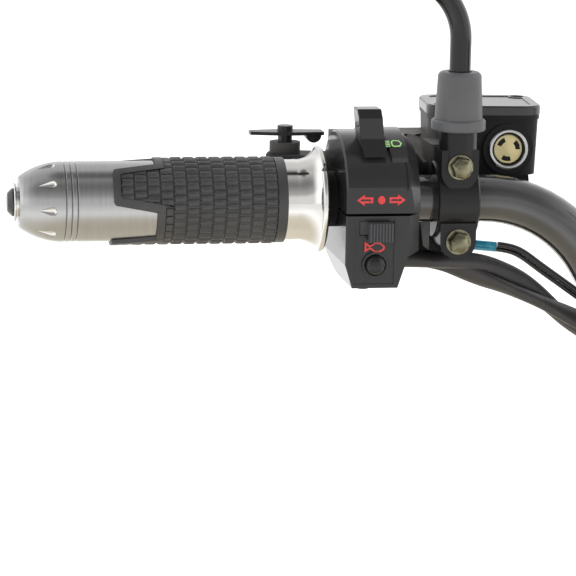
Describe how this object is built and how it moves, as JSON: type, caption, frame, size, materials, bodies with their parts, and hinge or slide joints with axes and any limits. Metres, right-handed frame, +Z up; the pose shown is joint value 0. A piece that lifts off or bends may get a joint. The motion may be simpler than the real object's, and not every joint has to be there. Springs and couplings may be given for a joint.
{
  "type": "handlebar assembly of an electric all-terrain vehicle",
  "caption": "Bent steel handlebar with metal-capped rubber grips, switch pods, brake levers with fluid reservoirs, mirrors on bent stems and tied leads.",
  "frame": {"origin": "middle of the bar's straight centre section, where the steering stem clamps it", "axes": "+X to the rider's right along the clamped bar, +Y forwards, +Z up"},
  "size_m": [0.774, 0.1181, 0.3629],
  "materials": {
    "bar_paint": "gloss black paint",
    "grip_metal": "turned, satin",
    "grip_rubber": "matte dark grey",
    "polished_metal": "polished",
    "matte_black": "matte black",
    "dark_steel": "dark zinc",
    "pod_plastic": "satin black",
    "key_plastic": "satin black",
    "knob_grey": "dark grey",
    "cast_black": "black paint on a cast body",
    "yellow_zinc": "yellow zinc",
    "cap_black": "black paint",
    "sight_glass": "clear over yellow fluid",
    "lever_metal": "black paint",
    "connector_blue": "blue",
    "stem_paint": "gloss black paint",
    "boot_rubber": "grey",
    "mirror_plastic": "black",
    "mirror_glass": "mirror",
    "lead_sleeve": "soft black sleeve",
    "connector_black": "black"
  },
  "bodies": {
    "bar": {"handlebar": "bar_paint", "left_brake_switch": "matte_black", "left_cable_tie": "matte_black", "left_clamp_bolts": "yellow_zinc", "left_clamp_cap": "cast_black", "left_end_bolt": "dark_steel", "left_end_connectors": "connector_black", "left_face_slide": "knob_grey", "left_grip_collar": "polished_metal", "left_grip_core": "grip_metal", "left_grip_sleeve": "grip_rubber", "left_harness": "lead_sleeve", "left_neck_ring": "matte_black", "left_parking_latch": "dark_steel", "left_perch": "cast_black", "left_pivot_bolt": "dark_steel", "left_pod_lower": "pod_plastic", "left_pod_upper": "pod_plastic", "left_push_button": "matte_black", "left_reservoir_cap": "cap_black", "left_sight_glass": "sight_glass", "left_switch_connector": "connector_blue", "left_switch_lead": "lead_sleeve", "left_top_key": "key_plastic", "right_brake_switch": "matte_black", "right_cable_tie": "matte_black", "right_clamp_bolts": "yellow_zinc", "right_clamp_cap": "cast_black", "right_end_bolt": "dark_steel", "right_end_connectors": "connector_black", "right_face_slide": "knob_grey", "right_harness": "lead_sleeve", "right_perch": "cast_black", "right_pivot_bolt": "dark_steel", "right_pod_lower": "pod_plastic", "right_pod_upper": "pod_plastic", "right_push_button": "matte_black", "right_reservoir_cap": "cap_black", "right_sight_glass": "sight_glass", "right_switch_connector": "connector_blue", "right_switch_lead": "lead_sleeve", "right_top_key": "key_plastic"},
    "left_brake_lever": {"left_brake_lever": "lever_metal"},
    "right_brake_lever": {"right_brake_lever": "lever_metal"},
    "throttle": {"right_grip_core": "grip_metal", "right_grip_sleeve": "grip_rubber", "right_grip_collar": "polished_metal", "right_neck_ring": "matte_black"},
    "left_mirror_arm": {"left_mirror_stem": "stem_paint", "left_mirror_boot": "boot_rubber"},
    "right_mirror_arm": {"right_mirror_stem": "stem_paint", "right_mirror_boot": "boot_rubber"},
    "left_mirror_head": {"left_mirror_shell": "mirror_plastic", "left_mirror_glass": "mirror_glass"},
    "right_mirror_head": {"right_mirror_shell": "mirror_plastic", "right_mirror_glass": "mirror_glass"}
  },
  "joints": [
    {"name": "left_brake_squeeze", "type": "hinge", "parent": "bar", "child": "left_brake_lever", "pos_m": [-0.26288, 0.02379, 0.099], "axis": [0, 0, 1], "range_deg": [0, 15], "stiffness_Nm_per_rad": 2, "springref_deg": -8.59},
    {"name": "right_brake_squeeze", "type": "hinge", "parent": "bar", "child": "right_brake_lever", "pos_m": [0.26288, 0.02379, 0.099], "axis": [0, 0, -1], "range_deg": [0, 15], "stiffness_Nm_per_rad": 2, "springref_deg": -8.59},
    {"name": "throttle_twist", "type": "hinge", "parent": "bar", "child": "throttle", "pos_m": [0.32362, -0.04176, 0.099], "axis": [-0.9848, 0.1736, 0], "range_deg": [0, 70], "stiffness_Nm_per_rad": 0.25, "springref_deg": -17.19},
    {"name": "left_mirror_swivel", "type": "hinge", "parent": "bar", "child": "left_mirror_arm", "pos_m": [-0.18352, -0.02721, 0.159], "axis": [0, 0, 1], "range_deg": [-60, 60]},
    {"name": "left_mirror_tilt", "type": "hinge", "parent": "left_mirror_arm", "child": "left_mirror_head", "pos_m": [-0.25085, -0.03908, 0.27616], "axis": [0.9848, 0.1736, 0], "range_deg": [-15, 15]},
    {"name": "right_mirror_swivel", "type": "hinge", "parent": "bar", "child": "right_mirror_arm", "pos_m": [0.18352, -0.02721, 0.159], "axis": [0, 0, 1], "range_deg": [-60, 60]},
    {"name": "right_mirror_tilt", "type": "hinge", "parent": "right_mirror_arm", "child": "right_mirror_head", "pos_m": [0.25085, -0.03908, 0.27616], "axis": [-0.9848, 0.1736, 0], "range_deg": [-15, 15]}
  ]
}
